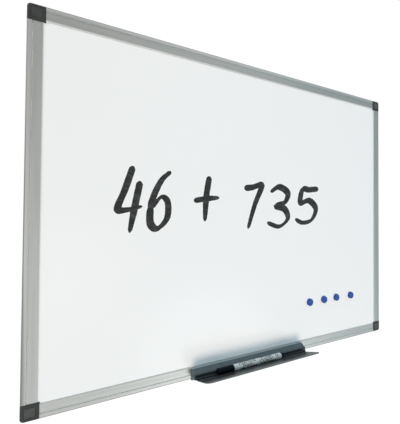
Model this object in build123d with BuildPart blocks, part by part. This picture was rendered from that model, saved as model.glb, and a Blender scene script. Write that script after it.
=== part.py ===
from build123d import *
from math import sqrt
import os

# Wall whiteboard, in millimetres. The wall is the plane y = 0 and the front faces -Y.
# +Z is up, and x = z = 0 is the middle of the board.

# Board
board_width = 1200.0
board_height = 900.0
frame_depth = 16.0
overrun = 1.0

# Panel, from the front: lacquered sheet, core, backing
sheet_thickness = 0.4
core_thickness = 10.0
backing_thickness = 0.3
sheet_recess = 2.0
panel_back_gap = 0.2
panel_edge_gap = 0.5
panel_corner_cut = 15.0

# Rail section
rail_face = 33.0
rail_wall = 1.3
rail_edge_radius = 3.0
rail_lip_radius = 0.25
band_width = 11.0
band_drop = 0.4
groove_width = 1.1
groove_undercut = 2.0
groove_depth = 2.4
back_lip_width = 9.0
back_lip_thickness = 1.2

# Corner pieces
corner_overlap = 3.5
corner_radius = 8.5
corner_proud = 0.8
corner_bevel = 2.5
leg_length = 48.0
leg_clearance = 0.2
leg_tip_chamfer = 2.0
cover_size = 21.0
cover_radius = 3.0
cover_clearance = 0.15
cover_thickness = 1.9
cover_pocket_depth = 1.6
cover_bevel = 0.5
cover_tab_width = 4.0
cover_tab_wall = 0.9
cover_tab_length = 2.2
cover_notch_width = 4.0
cover_notch_depth = 0.8
wall_screw_radius = 2.75
head_recess_size = 10.0
head_recess_depth = 3.0
corner_wall = 2.0
core_depth = 11.0

# Screws that hold the top and bottom rails on the corner legs; the side rails are trapped between
screw_radius = 1.4
screw_length = 8.5
screw_head_radius = 2.9
screw_head_height = 1.2
screw_clearance = 0.1
screw_inset = 26.0

# Pen tray
tray_length = 393.0
tray_centre = -9.5
tray_gap = 0.3
tray_wall = 2.0
tray_top_drop = 3.3
nose_reach = 21.0
nose_drop = 10.7
nose_radius = 1.5
step_reach = 20.5
floor_rise = 10.0
floor_width = 7.0
floor_radius = 3.0
wing_radius = 14.0
tray_reach = 89.0
lip_rise = 25.0
lip_radius = 1.6
shelf_inset = 5.0
shelf_corner_radius = 18.0
flange_reach = 6.0
rib_thickness = 2.0
rib_count = 6
hook_length = 14.0
hook_neck = 0.9
hook_foot_thickness = 1.4
hook_foot_reach = 1.5

# Marker, lying in the tray with its cap to the left
marker_radius = 8.0
marker_wall = 1.3
marker_length = 223.0
marker_from_tray_end = 64.0
marker_gap = 0.3
marker_back_gap = 1.5
cap_length = 50.0
cap_radius = 8.5
cap_wall = 1.2
cap_end_wall = 2.2
cap_gap = 0.1
neck_length = 14.0
neck_clearance = 0.2
holder_length = 11.0
holder_seat_length = 8.0
nib_radius = 2.6
nib_length = 6.0
label_thickness = 0.15
label_margin = 4.0
plug_length = 6.0
plug_inner_length = 9.0
plug_step = 0.3
ink_start = 1.0
ink_clearance = 0.2

# Magnets, on the sheet at the lower right: distances from the board's right and lower edges
magnet_insets = [371.0, 304.0, 243.0, 168.0]
magnet_rises = [154.0, 155.5, 156.0, 155.5]
magnet_radius = 12.0
magnet_height = 7.0
magnet_wall = 1.6
disc_height = 4.0
disc_recess = 0.2
disc_clearance = 0.1
disc_side_count = 24

# Places worked out from the sizes above. Heights are distances from the wall.
sheet_face = frame_depth - sheet_recess
panel_back = sheet_face - sheet_thickness - core_thickness - backing_thickness
slot_floor = panel_back - panel_back_gap
pocket_floor = sheet_face - groove_depth
chamber_top = pocket_floor - rail_wall
groove_end = band_width + groove_width
chamber_end = groove_end + groove_undercut
slot_start = chamber_end + rail_wall
panel_inset = slot_start + panel_edge_gap
corner_size = rail_face + corner_overlap
corner_front = frame_depth + corner_proud
half_width = board_width / 2
half_height = board_height / 2
chamber_middle = (rail_wall + chamber_end) / 2

os.makedirs("parts", exist_ok=True)


def finish(builder, label):
    builder.part.label = label
    export_step(builder.part, f"parts/{label}.step")


def front_plane(height):
    return Plane(origin=(0, -height, 0), x_dir=(1, 0, 0), z_dir=(0, -1, 0))


# Panel layers: rectangles whose corners are cut to clear the wall screws' bosses.
def make_panel_layer(label, back_height, thickness):
    with BuildPart() as layer:
        with BuildSketch(front_plane(back_height)) as outline:
            Rectangle(board_width - 2 * panel_inset, board_height - 2 * panel_inset)
            chamfer(outline.vertices(), panel_corner_cut)
        extrude(amount=thickness)
    finish(layer, label)


make_panel_layer("backing_sheet", panel_back, backing_thickness)
make_panel_layer("core_board", panel_back + backing_thickness, core_thickness)
make_panel_layer("writing_sheet", sheet_face - sheet_thickness, sheet_thickness)

# Rail section: local x runs from the rail's outer edge inwards, local y from the wall to the front.
# It has a chamber for the corner legs, a slot for the panel and an undercut groove in its face.
with BuildSketch() as rail_section:
    with BuildLine():
        Polyline(
            (0, 0),
            (0, frame_depth),
            (band_width, frame_depth),
            (band_width, pocket_floor),
            (chamber_end, pocket_floor),
            (chamber_end, sheet_face),
            (groove_end, sheet_face),
            (groove_end, frame_depth - band_drop),
            (rail_face, frame_depth - band_drop),
            (rail_face, sheet_face),
            (slot_start, sheet_face),
            (slot_start, slot_floor),
            (slot_start + back_lip_width, slot_floor),
            (slot_start + back_lip_width, slot_floor - back_lip_thickness),
            (slot_start, slot_floor - back_lip_thickness),
            (slot_start, 0),
            close=True,
        )
    make_face()
    outer_band = rail_section.vertices().group_by(Axis.Y)[-1].sort_by(Axis.X)
    main_band = rail_section.vertices().group_by(Axis.Y)[-2]
    fillet(outer_band[0], rail_edge_radius)
    fillet(outer_band[-1], rail_lip_radius)
    fillet(main_band, rail_lip_radius)
    with Locations((rail_wall, rail_wall)):
        Rectangle(
            chamber_end - rail_wall,
            chamber_top - rail_wall,
            align=(Align.MIN, Align.MIN),
            mode=Mode.SUBTRACT,
        )
    with Locations((rail_wall, pocket_floor)):
        Rectangle(
            band_width - 2 * rail_wall,
            groove_depth - rail_wall / 2,
            align=(Align.MIN, Align.MIN),
            mode=Mode.SUBTRACT,
        )


# Each side of the frame: direction inwards, distance of the outer edge, length between corners.
sides = {
    "bottom": (Vector(0, 0, 1), half_height, board_width - 2 * corner_size),
    "right": (Vector(-1, 0, 0), half_width, board_height - 2 * corner_size),
    "top": (Vector(0, 0, -1), half_height, board_width - 2 * corner_size),
    "left": (Vector(1, 0, 0), half_width, board_height - 2 * corner_size),
}


hung = (Align.CENTER, Align.CENTER, Align.MAX)


def along(inward):
    return inward.cross(Vector(0, -1, 0))


def screw_planes(side):
    inward, reach, length = sides[side]
    middle = inward * (chamber_middle - reach)
    shift = along(inward) * (length / 2 - screw_inset)
    return [Plane(origin=middle + shift * end, z_dir=(0, 1, 0)) for end in (-1, 1)]


screwed_sides = ("bottom", "top")
screw_places = [plane for side in screwed_sides for plane in screw_planes(side)]


def make_rail(side):
    inward, reach, length = sides[side]
    with BuildPart() as rail:
        with BuildSketch(Plane(origin=inward * -reach, x_dir=inward, z_dir=along(inward))):
            add(rail_section)
        extrude(amount=length / 2, both=True)
        if side in screwed_sides:
            with Locations(*screw_planes(side)):
                CounterSinkHole(
                    screw_radius + screw_clearance,
                    screw_head_radius + screw_clearance,
                    rail_wall + overrun,
                )
    finish(rail, f"rail_{side}")


for side in sides:
    make_rail(side)

with BuildPart() as corner_screws:
    with Locations(*screw_places):
        Cone(screw_radius, screw_head_radius, screw_head_height, align=hung)
        Cylinder(screw_radius, screw_length, align=hung)
finish(corner_screws, "corner_screws")

# Corner pieces. Local x and y run from the outer corner along the two rails, local z to the front.
# They are alike on their diagonal, so each is the same piece turned by a quarter.
corners = {
    "bottom_left": (-1, -1, (1, 0, 0)),
    "bottom_right": (1, -1, (0, 0, 1)),
    "top_right": (1, 1, (-1, 0, 0)),
    "top_left": (-1, 1, (0, 0, -1)),
}


def corner_plane(where, height=0.0):
    across, up, x_dir = corners[where]
    return Plane(origin=(across * half_width, -height, up * half_height), x_dir=x_dir, z_dir=(0, -1, 0))


with BuildSketch() as corner_outline:
    Rectangle(corner_size, corner_size, align=(Align.MIN, Align.MIN))
    by_diagonal = corner_outline.vertices().sort_by(Axis((0, 0, 0), (1, 1, 0)))
    fillet(by_diagonal[0], corner_radius)
    chamfer(by_diagonal[-1], corner_overlap)

with BuildSketch() as panel_corner:
    with Locations((slot_start, slot_start)):
        Rectangle(corner_size, corner_size, align=(Align.MIN, Align.MIN))
    chamfer(panel_corner.vertices().sort_by(Axis((0, 0, 0), (1, 1, 0)))[0], panel_corner_cut)

with BuildSketch() as core_outline:
    with Locations((corner_wall, corner_wall)):
        core_side = slot_start - 2 * corner_wall
        Rectangle(core_side, core_side, align=(Align.MIN, Align.MIN))
    nearest = core_outline.vertices().sort_by(Axis((0, 0, 0), (1, 1, 0)))[0]
    fillet(nearest, corner_radius - corner_wall)

leg_low = rail_wall + leg_clearance
leg_high = chamber_end - leg_clearance
leg_end = corner_size + leg_length
corner_middle = corner_size / 2

with BuildSketch() as leg_outline:
    with Locations((slot_start, leg_low)):
        Rectangle(leg_end - slot_start, leg_high - leg_low, align=(Align.MIN, Align.MIN))
    chamfer(leg_outline.vertices().group_by(Axis.X)[-1], leg_tip_chamfer)


# The outer edges of its front are the rounded corner and the straight edge at each side of that.
outer_edge_count = 3


def make_corner(where):
    with BuildPart() as corner:
        with BuildSketch(corner_plane(where)):
            add(corner_outline)
        extrude(amount=corner_front)
        front_edges = corner.faces().sort_by(Axis.Y)[0].edges()
        from_tip = front_edges.sort_by_distance(corner_plane(where, corner_front).origin)
        chamfer(from_tip[:outer_edge_count], corner_bevel)
        with BuildSketch(corner_plane(where)):
            add(core_outline)
        extrude(amount=core_depth, mode=Mode.SUBTRACT)
        with BuildSketch(corner_plane(where, slot_floor)):
            add(panel_corner)
        extrude(amount=sheet_face - slot_floor, mode=Mode.SUBTRACT)
        with BuildSketch(corner_plane(where, leg_low)):
            add(leg_outline)
            mirror(leg_outline.sketch, about=Plane(origin=(0, 0, 0), z_dir=(1, -1, 0)))
        extrude(amount=chamber_top - leg_clearance - leg_low)
        with BuildSketch(corner_plane(where, corner_front)):
            with Locations((corner_middle, corner_middle)):
                RectangleRounded(cover_size, cover_size, cover_radius)
        extrude(amount=-cover_pocket_depth, mode=Mode.SUBTRACT)
        with BuildSketch(corner_plane(where, corner_front - cover_pocket_depth)):
            with Locations((corner_middle, corner_middle)):
                Rectangle(head_recess_size, head_recess_size)
        extrude(amount=-head_recess_depth, mode=Mode.SUBTRACT)
        with BuildSketch(corner_plane(where)):
            with Locations((corner_middle, corner_middle)):
                Circle(wall_screw_radius)
        extrude(amount=corner_front, mode=Mode.SUBTRACT)
        with Locations(*screw_places):
            Hole(screw_radius + screw_clearance, screw_length + overrun)
    finish(corner, f"corner_{where}")


tab_spacing = head_recess_size - 2 * cover_clearance - cover_tab_wall


def make_cover(where):
    with BuildPart() as cover:
        with BuildSketch(corner_plane(where, corner_front - cover_pocket_depth)) as face:
            with Locations((corner_middle, corner_middle)):
                side = cover_size - 2 * cover_clearance
                RectangleRounded(side, side, cover_radius - cover_clearance)
            with Locations((corner_middle, corner_middle - side / 2)):
                Rectangle(cover_notch_width, cover_notch_depth * 2, mode=Mode.SUBTRACT)
        extrude(amount=cover_thickness)
        chamfer(cover.faces().sort_by(Axis.Y)[0].edges(), cover_bevel)
        with BuildSketch(corner_plane(where, corner_front - cover_pocket_depth)):
            with Locations((corner_middle, corner_middle)):
                with GridLocations(tab_spacing, 0, 2, 1):
                    Rectangle(cover_tab_wall, cover_tab_width)
        extrude(amount=-cover_tab_length)
    finish(cover, f"screw_cover_{where}")


for where in corners:
    make_corner(where)
    make_cover(where)

# Pen tray: a moulded shelf on a sloping back plate. Ribs behind the plate end in hooks that slide in
# the bottom rail's face groove, and a flange reaches under the rail. Sections are drawn as (y, z).
tray_back = -frame_depth - tray_gap
tray_top = rail_face - half_height - tray_top_drop
nose = (-frame_depth - nose_reach, tray_top - nose_drop)
floor_z = floor_rise - half_height
floor_back = -frame_depth - step_reach
floor_front = floor_back - floor_width
lip = (-frame_depth - tray_reach, floor_z + lip_rise)
tray_left = tray_centre - tray_length / 2
under_rail = -half_height - tray_gap

with BuildSketch() as tray_section:
    with BuildLine() as skin:
        FilletPolyline(
            (tray_back - tray_wall, tray_top),
            nose,
            (floor_back, floor_z),
            (floor_front, floor_z),
            lip,
            radius=[nose_radius, floor_radius, wing_radius],
        )
        offset(amount=tray_wall, side=Side.LEFT, closed=True)
    make_face()
    with Locations((tray_back, tray_top)):
        Rectangle(tray_wall, tray_wall, align=(Align.MAX, Align.MAX))
    with Locations((tray_back, floor_z)):
        Rectangle(step_reach - tray_gap, tray_wall, align=(Align.MAX, Align.MAX))
        Rectangle(tray_wall, floor_z - under_rail + tray_wall, align=(Align.MAX, Align.MAX))
    with Locations((tray_back - tray_wall, under_rail)):
        Rectangle(flange_reach + tray_wall, tray_wall, align=(Align.MIN, Align.MAX))
    with Locations(lip):
        Circle(lip_radius)

with BuildSketch() as rib_section:
    with BuildLine():
        Polyline(
            (tray_back, tray_top),
            (tray_back - tray_wall, tray_top),
            (nose[0] + nose_radius, nose[1] - nose_radius),
            (floor_back, floor_z - tray_wall / 2),
            (tray_back, floor_z - tray_wall / 2),
            close=True,
        )
    make_face()

hook_middle = band_width + groove_width / 2 - half_height
hook_depth = (sheet_face + pocket_floor) / 2
with BuildSketch() as hook_section:
    with Locations((tray_back - tray_wall / 2, hook_middle)):
        Rectangle(
            -tray_back + tray_wall / 2 - hook_depth + hook_foot_thickness / 2,
            hook_neck,
            align=(Align.MIN, Align.CENTER),
        )
    with Locations((-hook_depth, hook_middle - hook_neck / 2)):
        Rectangle(hook_foot_thickness, hook_neck + hook_foot_reach, align=(Align.CENTER, Align.MIN))

rib_pitch = (tray_length - rib_thickness) / (rib_count - 1)
rib_places = [tray_left + rib_thickness / 2 + rib_pitch * i for i in range(rib_count)]

with BuildPart() as pen_tray:
    with BuildSketch(Plane.YZ.offset(tray_left)):
        add(tray_section)
    extrude(amount=tray_length)
    for place in rib_places:
        with BuildSketch(Plane.YZ.offset(place)):
            add(rib_section)
    extrude(amount=rib_thickness / 2, both=True)
    for place in rib_places[1:-1]:
        with BuildSketch(Plane.YZ.offset(place)):
            add(hook_section)
    extrude(amount=hook_length / 2, both=True)
    with BuildSketch(Plane.XY.offset(under_rail - tray_wall - overrun)) as plan:
        with Locations((tray_centre, -frame_depth - nose_reach - tray_wall)):
            Rectangle(tray_length, board_height, align=(Align.CENTER, Align.MIN))
        with Locations((tray_centre, lip[0] - lip_radius)):
            Rectangle(
                tray_length - 2 * shelf_inset,
                tray_reach,
                align=(Align.CENTER, Align.MIN),
            )
        fillet(plan.vertices().group_by(Axis.Y)[0], shelf_corner_radius)
    extrude(amount=board_height, mode=Mode.INTERSECT)
finish(pen_tray, "pen_tray")

# Marker: turned pieces about one axis along X. Their outlines are drawn as (x, radius).
# Its cap rests on the sloping shelf, so its axis is a cap's radius from that slope.
marker_left = tray_left + marker_from_tray_end
marker_right = marker_left + marker_length
marker_y = floor_back - marker_back_gap - cap_radius
wing_slope = lip_rise / (floor_front - lip[0])
wing_height = floor_z + wing_slope * (floor_front - marker_y)
marker_z = wing_height + (cap_radius + marker_gap) * sqrt(1 + wing_slope**2)
marker_plane = Plane(origin=(0, marker_y, marker_z), x_dir=(1, 0, 0), z_dir=(0, -1, 0))
barrel_left = marker_left + cap_length
barrel_right = marker_right - plug_length
neck_left = barrel_left - neck_length
cap_bore = cap_radius - cap_wall
neck_radius = cap_bore - neck_clearance
neck_bore = neck_radius - marker_wall
barrel_bore = marker_radius - marker_wall
holder_left = neck_left - holder_length
nib_left = holder_left - nib_length
ink_left = barrel_left + ink_start
ink_right = barrel_right - plug_inner_length


def make_turned(label, points):
    with BuildPart() as piece:
        with BuildSketch(marker_plane):
            with BuildLine():
                Polyline(*points, close=True)
            make_face()
        revolve(axis=Axis(marker_plane.origin, marker_plane.x_dir))
    finish(piece, label)


make_turned(
    "marker_barrel",
    [
        (neck_left, neck_bore),
        (neck_left, neck_radius),
        (barrel_left, neck_radius),
        (barrel_left, marker_radius),
        (barrel_right, marker_radius),
        (barrel_right, barrel_bore),
        (barrel_left, barrel_bore),
        (barrel_left, neck_bore),
    ],
)
make_turned(
    "marker_label",
    [
        (barrel_left + label_margin, marker_radius),
        (barrel_left + label_margin, marker_radius + label_thickness),
        (barrel_right - label_margin, marker_radius + label_thickness),
        (barrel_right - label_margin, marker_radius),
    ],
)
make_turned(
    "marker_tail_plug",
    [
        (ink_right, 0),
        (ink_right, barrel_bore),
        (barrel_right, barrel_bore),
        (barrel_right, marker_radius - plug_step),
        (marker_right, marker_radius - plug_step),
        (marker_right, 0),
    ],
)
make_turned(
    "marker_ink_core",
    [
        (ink_left, 0),
        (ink_left, barrel_bore - ink_clearance),
        (ink_right, barrel_bore - ink_clearance),
        (ink_right, 0),
    ],
)
make_turned(
    "marker_nib_holder",
    [
        (holder_left, nib_radius),
        (holder_left, neck_bore),
        (neck_left + holder_seat_length, neck_bore),
        (neck_left + holder_seat_length, nib_radius),
    ],
)
make_turned(
    "marker_nib",
    [
        (nib_left, 0),
        (nib_left, nib_radius / 2),
        (nib_left + nib_length / 2, nib_radius),
        (ink_left, nib_radius),
        (ink_left, 0),
    ],
)
make_turned(
    "marker_cap",
    [
        (marker_left, 0),
        (marker_left, cap_radius),
        (barrel_left - cap_gap, cap_radius),
        (barrel_left - cap_gap, cap_bore),
        (marker_left + cap_end_wall, cap_bore),
        (marker_left + cap_end_wall, 0),
    ],
)


# Magnets: a plastic shell, and a disc held in it from below. The disc is hidden, so flat sides serve.
shell_bore = magnet_radius - magnet_wall
disc_radius = shell_bore - disc_clearance
disc_top = disc_recess + disc_height


def make_magnet(number, inset, rise):
    foot = Plane(
        origin=(half_width - inset, -sheet_face, rise - half_height),
        x_dir=(1, 0, 0),
        z_dir=(0, -1, 0),
    )
    with BuildPart() as shell:
        with BuildSketch(foot):
            Circle(magnet_radius)
        extrude(amount=magnet_height)
        with BuildSketch(foot):
            RegularPolygon(shell_bore, disc_side_count)
        extrude(amount=disc_top, mode=Mode.SUBTRACT)
    finish(shell, f"magnet_shell_{number}")
    with BuildPart() as disc:
        with BuildSketch(foot.offset(disc_recess)):
            RegularPolygon(disc_radius, disc_side_count)
        extrude(amount=disc_height)
    finish(disc, f"magnet_disc_{number}")


for number, (inset, rise) in enumerate(zip(magnet_insets, magnet_rises), start=1):
    make_magnet(number, inset, rise)
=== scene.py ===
# %% [markdown]
# # A wall whiteboard, dressed for the camera
# The solids of this whiteboard come ready made: frame rails, corner pieces, panel, pen tray, marker and
# magnets. This lesson gives each of them its finish, adds the few things that are drawn or turned finer
# than a solid needs, and then lights and photographs the board. Everything is in metres. The wall is the
# plane y = 0, the board's front faces -Y, +Z is up, and the origin is the middle of the board.

# %% Load the board
import math
import random

import bmesh
import bpy
from mathutils import Matrix, Vector


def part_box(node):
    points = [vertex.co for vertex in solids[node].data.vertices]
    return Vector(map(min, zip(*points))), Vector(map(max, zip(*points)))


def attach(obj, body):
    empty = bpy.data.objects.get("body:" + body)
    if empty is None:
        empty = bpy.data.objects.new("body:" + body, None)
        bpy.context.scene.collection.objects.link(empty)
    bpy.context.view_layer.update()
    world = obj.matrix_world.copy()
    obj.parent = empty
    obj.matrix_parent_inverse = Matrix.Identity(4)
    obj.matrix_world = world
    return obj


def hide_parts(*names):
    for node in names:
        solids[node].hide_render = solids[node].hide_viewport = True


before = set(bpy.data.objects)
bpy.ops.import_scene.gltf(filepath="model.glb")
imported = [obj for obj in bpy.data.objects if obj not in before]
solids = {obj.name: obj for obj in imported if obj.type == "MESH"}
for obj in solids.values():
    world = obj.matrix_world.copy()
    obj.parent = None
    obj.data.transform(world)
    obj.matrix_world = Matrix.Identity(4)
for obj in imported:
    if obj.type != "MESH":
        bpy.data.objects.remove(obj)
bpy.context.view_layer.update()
MM = 0.001

# %% [markdown]
# ## The camera
# The picture was taken from the left, close to the board, at the height of its middle. A short lens makes
# the near side much taller than the far side. The place and the turn of the camera were solved from the
# corners of the frame. A camera could be aimed at a point instead, but that leaves it level, and this one
# is rolled by half a degree. Blender's camera looks along its own -Z, so the matrix holds right, up and
# back.

# %% Camera
CAMERA_PLACE = Vector((-0.518, -0.718, -0.011))
CAMERA_YAW = math.radians(25.46)
CAMERA_PITCH = math.radians(0.96)
CAMERA_ROLL = math.radians(0.46)
SENSOR_WIDTH = 36.0
LENS_IN_PIXELS = 281.8
LONG_SIDE_IN_PIXELS = 424
NEAREST_SEEN = 0.01


def make_camera():
    ahead = Vector((
        math.sin(CAMERA_YAW) * math.cos(CAMERA_PITCH),
        math.cos(CAMERA_YAW) * math.cos(CAMERA_PITCH),
        math.sin(CAMERA_PITCH),
    ))
    level = Vector((math.cos(CAMERA_YAW), -math.sin(CAMERA_YAW), 0))
    upright = level.cross(ahead)
    right = level * math.cos(CAMERA_ROLL) + upright * math.sin(CAMERA_ROLL)
    up = upright * math.cos(CAMERA_ROLL) - level * math.sin(CAMERA_ROLL)
    turn = Matrix((right, up, -ahead)).transposed().to_4x4()
    data = bpy.data.cameras.new("camera")
    data.sensor_width = SENSOR_WIDTH
    data.lens = SENSOR_WIDTH * LENS_IN_PIXELS / LONG_SIDE_IN_PIXELS
    data.clip_start = NEAREST_SEEN
    camera = bpy.data.objects.new("camera", data)
    camera.matrix_world = Matrix.Translation(CAMERA_PLACE) @ turn
    bpy.context.scene.collection.objects.link(camera)
    bpy.context.scene.camera = camera
    return camera


camera = make_camera()
bpy.context.scene.view_settings.view_transform = "Standard"
print("lens in mm:", round(camera.data.lens, 2))

# %% [markdown]
# ## A small kit for finishes
# A finish is one Principled shader and a few procedural patterns that vary it. Images could vary it too,
# but patterns need no unwrapping and stay sharp from close by. `Nodes` makes nodes in a tree and joins
# them, for the floor and the air too. `Finish` adds the shader, noise patterns stretched by a size along
# each axis, in metres, and relief. Numbers that are the same all over a surface go straight on the
# shader, so that the board keeps them when it is exported.

# %% Node kit
NOISE_LOW, NOISE_HIGH = 0.3, 0.7


class Nodes:
    """A node tree under construction."""

    def __init__(self, tree):
        self.tree = tree

    def put(self, socket, value):
        """Joins a node's output to a socket, or writes a number or a colour on it."""
        if isinstance(value, bpy.types.NodeSocket):
            self.tree.links.new(value, socket)
        else:
            socket.default_value = value

    def node(self, kind, inputs=None, **settings):
        node = self.tree.nodes.new(kind)
        for name, value in settings.items():
            setattr(node, name, value)
        for name, value in (inputs or {}).items():
            self.put(node.inputs[name], value)
        return node

    def axes(self, vector):
        """The X, Y and Z outputs of a vector."""
        return self.node("ShaderNodeSeparateXYZ", {"Vector": vector}).outputs

    def between(self, pattern, low, high, start=NOISE_LOW, end=NOISE_HIGH, kind="LINEAR"):
        """A pattern that runs between two values while its source runs from `start` to `end`."""
        inputs = {"Value": pattern, "From Min": start, "From Max": end, "To Min": low, "To Max": high}
        return self.node("ShaderNodeMapRange", inputs, interpolation_type=kind).outputs[0]

    def mix(self, share, first, second):
        """A colour between two, by a pattern."""
        mix = self.node("ShaderNodeMix", {"Factor": share}, data_type="RGBA")
        for socket, colour in ((mix.inputs[6], first), (mix.inputs[7], second)):
            self.put(socket, colour if isinstance(colour, bpy.types.NodeSocket) else (*colour, 1.0))
        return mix.outputs[2]

    def combine(self, operation, first, second):
        node = self.node("ShaderNodeMath", operation=operation)
        self.put(node.inputs[0], first)
        self.put(node.inputs[1], second)
        return node.outputs[0]

    def distance(self, value, centre):
        """How far a value lies from a centre, on either side."""
        return self.combine("ABSOLUTE", self.combine("SUBTRACT", value, centre), 0.0)


print("noise mostly lies between", NOISE_LOW, "and", NOISE_HIGH)

# %% Finish kit
BEVEL_SAMPLES = 4


class Finish(Nodes):
    """A material under construction: its nodes and its Principled shader."""

    def __init__(self, name, colour, roughness, **settings):
        self.material = bpy.data.materials.new(name)
        self.material.use_nodes = True
        self.material.diffuse_color = (*colour, 1.0)
        super().__init__(self.material.node_tree)
        self.shader = self.tree.nodes["Principled BSDF"]
        self.shader.inputs["Base Color"].default_value = (*colour, 1.0)
        self.shader.inputs["Roughness"].default_value = roughness
        for socket, value in settings.items():
            self.shader.inputs[socket.replace("_", " ")].default_value = value
        self.place = self.node("ShaderNodeTexCoord").outputs["Object"]

    def set(self, socket, value):
        self.put(self.shader.inputs[socket], value)

    def noise(self, size, detail=2.0, seed=0.0):
        """Soft noise whose blobs are about `size` metres across, one size or one for each axis."""
        sizes = size if hasattr(size, "__len__") else (size, size, size)
        mapping = self.node(
            "ShaderNodeMapping",
            {"Vector": self.place, "Scale": [1 / s for s in sizes], "Location": (seed, seed, seed)},
        )
        noise = self.node(
            "ShaderNodeTexNoise", {"Vector": mapping.outputs[0], "Scale": 1.0, "Detail": detail}
        )
        return noise.outputs["Fac"]

    def soft_edges(self, radius):
        """Edges that catch the light as if they were rounded by `radius`."""
        return self.node("ShaderNodeBevel", {"Radius": radius}, samples=BEVEL_SAMPLES).outputs[0]

    def relief(self, height, depth, normal=None):
        """Small bumps, `depth` metres deep, on the surface or on softened edges."""
        inputs = {"Height": height, "Distance": depth, "Strength": 1.0}
        if normal is not None:
            inputs["Normal"] = normal
        self.set("Normal", self.node("ShaderNodeBump", inputs).outputs[0])


print("samples of a soft edge:", BEVEL_SAMPLES)


# %% Dressing a solid
def dress(finish, *names):
    """Gives solids a finish: their material slots take it, and their shape stays."""
    for name in names:
        solid = solids[name]
        solid.data.materials.clear()
        solid.data.materials.append(finish.material)
    print(finish.material.name, "on", len(names), "solids")


print("solids that wait for a finish:", len(solids))

# %% [markdown]
# ## The writing sheet
# The sheet is thin steel with a baked white lacquer. It is white all over, with a soft gloss, and
# slightly wavy, as coated steel is. Years of wiping leave pale grey ghosts that hardly show. A thin coat
# layer gives the gloss, waves of a few centimetres bend reflections a little, and a noise as wide as a
# wiping stroke makes the blur uneven. The roughness stays in a narrow range, because patches of another
# gloss would show as islands on so even a surface.

# %% Lacquer
GHOST_SIZE, GHOST_SPAN = (0.34, 0.34, 0.16), (0.45, 0.75)
WIPING_SIZE, WIPING_BLUR = (0.30, 0.30, 0.10), (0.19, 0.225)
WAVE_SIZE, WAVE_DEPTH = 50.0 * MM, 0.04 * MM


def make_lacquer():
    white, ghost = (0.862, 0.868, 0.868), (0.858, 0.864, 0.866)
    lacquer = Finish(
        "lacquer", white, 0.2, IOR=1.45, Coat_Weight=0.3, Coat_Roughness=0.2, Coat_IOR=1.45
    )
    ghosts = lacquer.noise(GHOST_SIZE, seed=3.0)
    lacquer.set("Base Color", lacquer.mix(lacquer.between(ghosts, 0.0, 1.0, *GHOST_SPAN), white, ghost))
    wiping = lacquer.noise(WIPING_SIZE, seed=8.0)
    lacquer.set("Roughness", lacquer.between(wiping, *WIPING_BLUR))
    lacquer.relief(lacquer.noise(WAVE_SIZE, detail=1.0), WAVE_DEPTH)
    return lacquer


dress(make_lacquer(), "writing_sheet")

# %% [markdown]
# ## Rails
# The rails are extruded aluminium with a satin anodised skin. The die leaves fine lines along each rail,
# and the skin blurs them. Painted shade makes the outer edge darker than the flat face, and a painted
# highlight lays a paler band next to it on the top and left rails. At the foot of the left rail the
# painted edge shade widens. Wide, faint draw marks lie between the lines. Lines and marks run along X on
# two rails and along Z on the others, so a function makes the finish for a direction, from the distance
# to the outer edge. An image of such lines would show seams where it is wrapped round the rail. Here
# they are noise that is stretched far along it, and they move roughness and relief together. Inside the
# narrow groove in the face, a pale and dull colour is painted light that lifts the shade there, so that
# the groove looks almost as bright as the face. The inner rim is dull and painted too: a painted
# highlight on the top, left and right rails, and painted shade along the lower rail.

# %% Groove in a rail
X, Y, Z = 0, 1, 2
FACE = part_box("rail_top")[0].y
GROOVE_FROM_EDGE, GROOVE_REACH, GROOVE_DEPTH = 11.5 * MM, 3.0 * MM, 5.0 * MM
GROOVE_START, GROOVE_FULL = 0.5 * MM, 0.7 * MM
# Painted light: a pale colour that lifts the shade inside the groove.
GROOVE_PAINTED_LIGHT = (0.89, 0.94, 0.95)


def groove_share(rail, inside, depth):
    """1 on the walls and the floor of the groove, 0 elsewhere."""
    from_groove = rail.distance(inside, GROOVE_FROM_EDGE)
    near_groove = rail.between(from_groove, 1.0, 0.0, GROOVE_REACH, GROOVE_REACH + MM)
    below_face = rail.between(depth, 0.0, 1.0, FACE + GROOVE_START, FACE + GROOVE_FULL)
    not_behind = rail.between(depth, 1.0, 0.0, FACE + GROOVE_DEPTH, FACE + GROOVE_DEPTH + MM)
    return rail.combine("MULTIPLY", near_groove, rail.combine("MULTIPLY", below_face, not_behind))


print("front of the rails at y =", round(FACE, 4))

# %% Satin aluminium
LINE_LENGTH, LINE_WIDTH, LINE_DEPTH = 250.0 * MM, 0.9 * MM, 0.02 * MM
LINE_BLUR = (0.33, 0.46)
MARK_WIDTH = 6.0 * MM
EDGE_ROUNDING = 0.4 * MM
RAIL_FACE = 33.0 * MM
# Painted shade: the outer edge is darker up to here, and reaches further in at the foot of the left rail.
EDGE_SHADE_START, EDGE_SHADE_END = 1.575 * MM, 3.5 * MM
# Painted highlight: a paler band next to the shaded outer edge.
HIGHLIGHT_BAND_END, HIGHLIGHT_BAND_FADE = 5.0 * MM, 6.0 * MM
RIM_FADE = 2.0 * MM
FOOT_LOW, FOOT_HIGH = -0.36, -0.12
FOOT_SHADE_SPREAD = 6.0 * MM


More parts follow.
